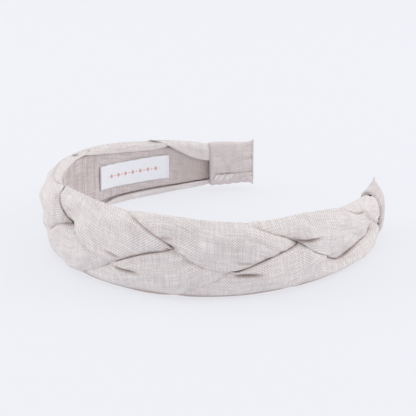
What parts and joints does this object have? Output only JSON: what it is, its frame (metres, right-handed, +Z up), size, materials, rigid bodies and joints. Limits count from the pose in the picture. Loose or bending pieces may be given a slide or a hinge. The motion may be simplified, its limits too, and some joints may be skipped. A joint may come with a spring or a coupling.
{
  "type": "braided linen headband",
  "caption": "Open headband of wide soft linen tubes plaited flat round a stiff lined band, with pillow-like closed sleeves at both tips and a small label inside.",
  "frame": {"origin": "on the table under the middle of the headband, which lies on its lower edge", "axes": "+Z up, along the braid's height; +Y from the crown of the band towards its open end; X across the head, the label on the -X arm"},
  "size_m": [0.1614, 0.1562, 0.0358],
  "materials": {
    "linen_braid": "plain-weave undyed linen, matte",
    "linen_lining": "plain-weave linen drawn tight over a stiff band, matte",
    "linen_sleeve": "plain-weave undyed linen, matte",
    "label_cloth": "fine woven tape, slight sheen"
  },
  "bodies": {
    "root": {"lining_band": "linen_lining", "strand_1": "linen_braid", "strand_2": "linen_braid", "strand_3": "linen_braid", "end_sleeve_left": "linen_sleeve", "end_sleeve_right": "linen_sleeve", "woven_label": "label_cloth"}
  },
  "joints": []
}
